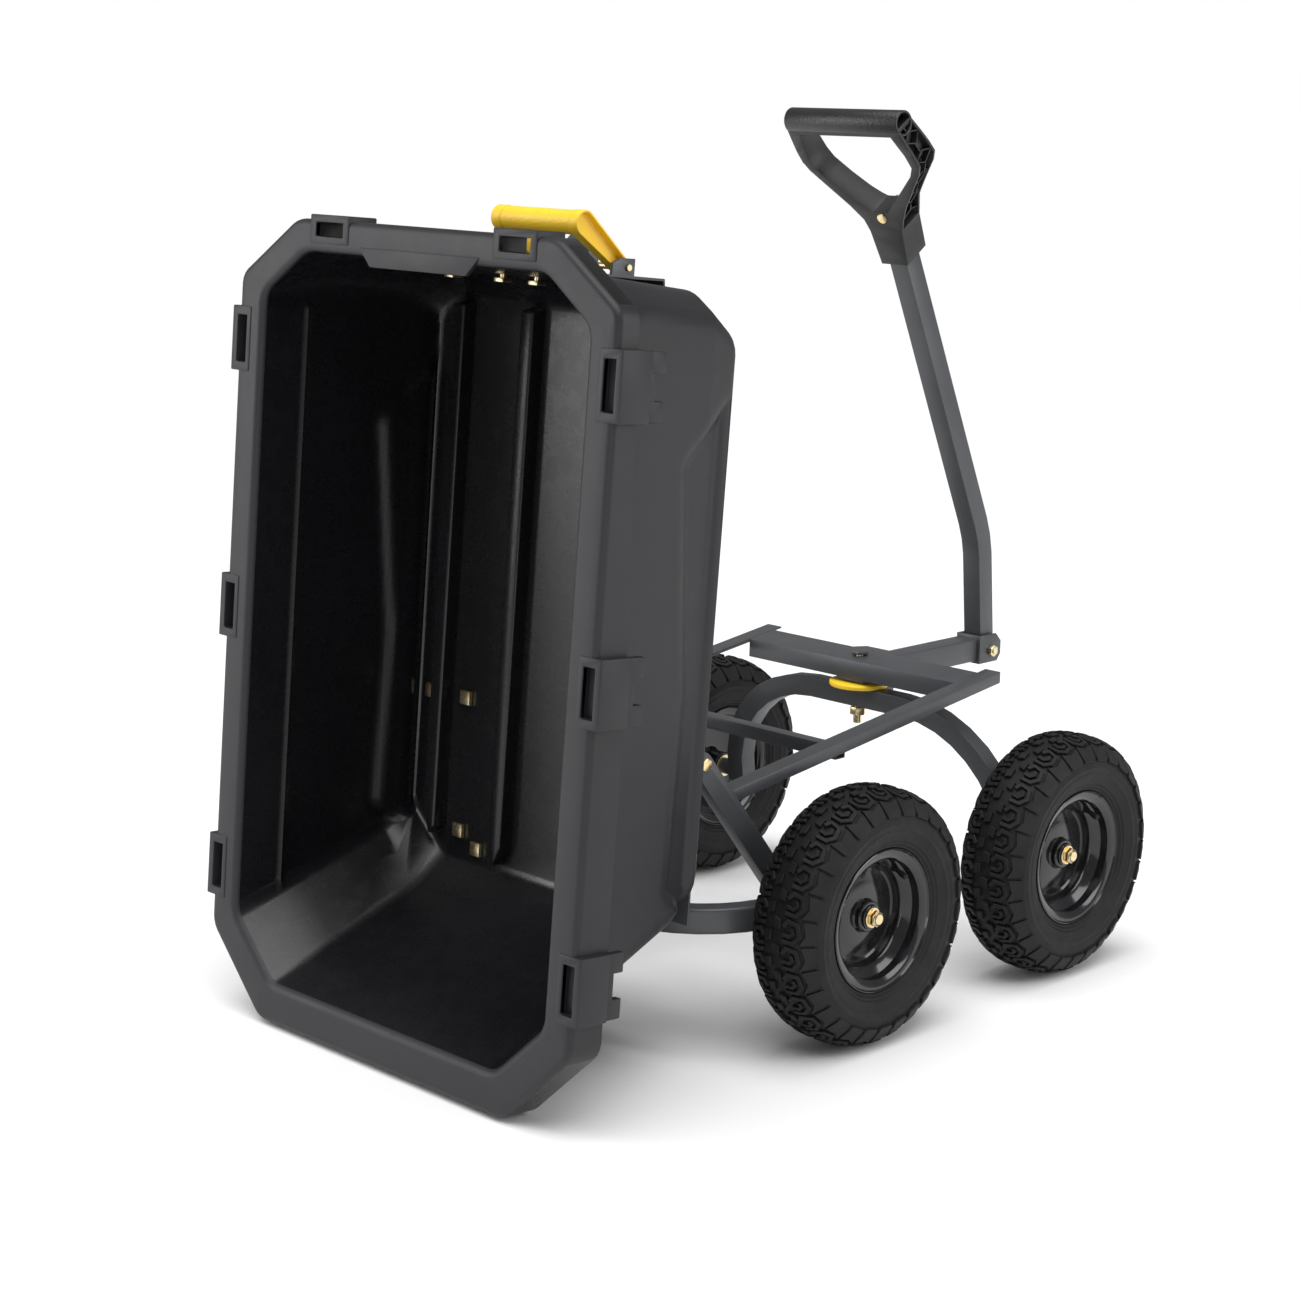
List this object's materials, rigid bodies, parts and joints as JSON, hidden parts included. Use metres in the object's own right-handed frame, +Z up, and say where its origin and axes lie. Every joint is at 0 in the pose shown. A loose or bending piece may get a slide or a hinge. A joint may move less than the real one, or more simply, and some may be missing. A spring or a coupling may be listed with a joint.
{
  "type": "garden cart",
  "caption": "Four-wheeled garden dump cart with a tipping moulded tub, steered front axle, folding pull handle and pneumatic tyres.",
  "frame": {"origin": "on the ground, under the middle of the cart's box with the tub tipped", "axes": "+X towards the pull handle, +Y to the cart's left, +Z up"},
  "size_m": [1.1934, 0.745, 1.1525],
  "materials": {
    "frame_paint": "dark grey satin powder coat",
    "zinc_hardware": "yellow-passivated zinc plate",
    "tub": "moulded polyethylene, satin outside and glossier inside",
    "tyre": "black rubber with a blocky tread",
    "wheel_rim": "gloss black enamel on pressed steel",
    "yellow_plastic": "golden yellow moulded plastic",
    "grip": "black moulded plastic, textured where the hand goes"
  },
  "bodies": {
    "frame": {"axle_nut_rear_right": "zinc_hardware", "axle_nut_rear_left": "zinc_hardware", "rail_right": "frame_paint", "rail_left": "frame_paint", "front_cross_member": "frame_paint", "mid_cross_tube": "frame_paint", "rear_cross_tube": "frame_paint", "latch_strike": "frame_paint", "rear_strut_right": "frame_paint", "hinge_bolt_right": "zinc_hardware", "rear_strut_left": "frame_paint", "hinge_bolt_left": "zinc_hardware", "rear_axle_bar": "frame_paint"},
    "front_axle": {"axle_nut_front_right": "zinc_hardware", "axle_nut_front_left": "zinc_hardware", "front_arch": "frame_paint", "steering_ring": "yellow_plastic", "steering_block": "frame_paint", "kingpin": "zinc_hardware", "kingpin_nut": "zinc_hardware", "tongue": "frame_paint", "clevis": "frame_paint", "handle_pivot_bolt": "zinc_hardware", "handle_pivot_nut": "zinc_hardware"},
    "handle": {"handle_tube": "frame_paint", "handle_grip": "grip"},
    "tub": {"tub_shell": "tub", "floor_bolt_outer_left": "zinc_hardware", "floor_bolt_inner_left": "zinc_hardware", "floor_bolt_rear_left": "zinc_hardware", "floor_bolt_end_left": "zinc_hardware", "floor_bolt_outer_right": "zinc_hardware", "floor_bolt_inner_right": "zinc_hardware", "floor_bolt_rear_right": "zinc_hardware", "floor_bolt_end_right": "zinc_hardware", "hinge_plate_right": "frame_paint", "hinge_plate_left": "frame_paint", "front_bracket": "frame_paint", "release_pin": "zinc_hardware", "front_bolt_1": "zinc_hardware", "front_bolt_2": "zinc_hardware", "front_bolt_3": "zinc_hardware", "front_bolt_4": "zinc_hardware"},
    "release_handle": {"release_handle": "yellow_plastic", "latch_hook": "frame_paint"},
    "wheel_rear_right": {"tyre_rear_right": "tyre", "rim_rear_right": "wheel_rim"},
    "wheel_rear_left": {"tyre_rear_left": "tyre", "rim_rear_left": "wheel_rim"},
    "wheel_front_right": {"tyre_front_right": "tyre", "rim_front_right": "wheel_rim"},
    "wheel_front_left": {"tyre_front_left": "tyre", "rim_front_left": "wheel_rim"}
  },
  "joints": [
    {"name": "steer", "type": "hinge", "parent": "frame", "child": "front_axle", "pos_m": [0.29465, 0, 0.355], "axis": [0, 0, 1], "range_deg": [-12, 12]},
    {"name": "handle_fold", "type": "hinge", "parent": "front_axle", "child": "handle", "pos_m": [0.57265, 0, 0.362], "axis": [0, 1, 0], "range_deg": [0, 105]},
    {"name": "tub_tip", "type": "hinge", "parent": "frame", "child": "tub", "pos_m": [-0.27335, 0, 0.372], "axis": [0, 1, 0], "range_deg": [0, 85.9]},
    {"name": "release", "type": "hinge", "parent": "tub", "child": "release_handle", "pos_m": [-0.26669, 0, 0.9552], "axis": [0, 1, 0], "range_deg": [-20, 0], "stiffness_Nm_per_rad": 2, "springref_deg": 20.05},
    {"name": "spin_rear_right", "type": "hinge", "parent": "frame", "child": "wheel_rear_right", "pos_m": [-0.07935, -0.323, 0.165], "axis": [0, 1, 0], "continuous": true},
    {"name": "spin_rear_left", "type": "hinge", "parent": "frame", "child": "wheel_rear_left", "pos_m": [-0.07935, 0.323, 0.165], "axis": [0, 1, 0], "continuous": true},
    {"name": "spin_front_right", "type": "hinge", "parent": "front_axle", "child": "wheel_front_right", "pos_m": [0.33215, -0.323, 0.165], "axis": [0, 1, 0], "continuous": true},
    {"name": "spin_front_left", "type": "hinge", "parent": "front_axle", "child": "wheel_front_left", "pos_m": [0.33215, 0.323, 0.165], "axis": [0, 1, 0], "continuous": true}
  ]
}
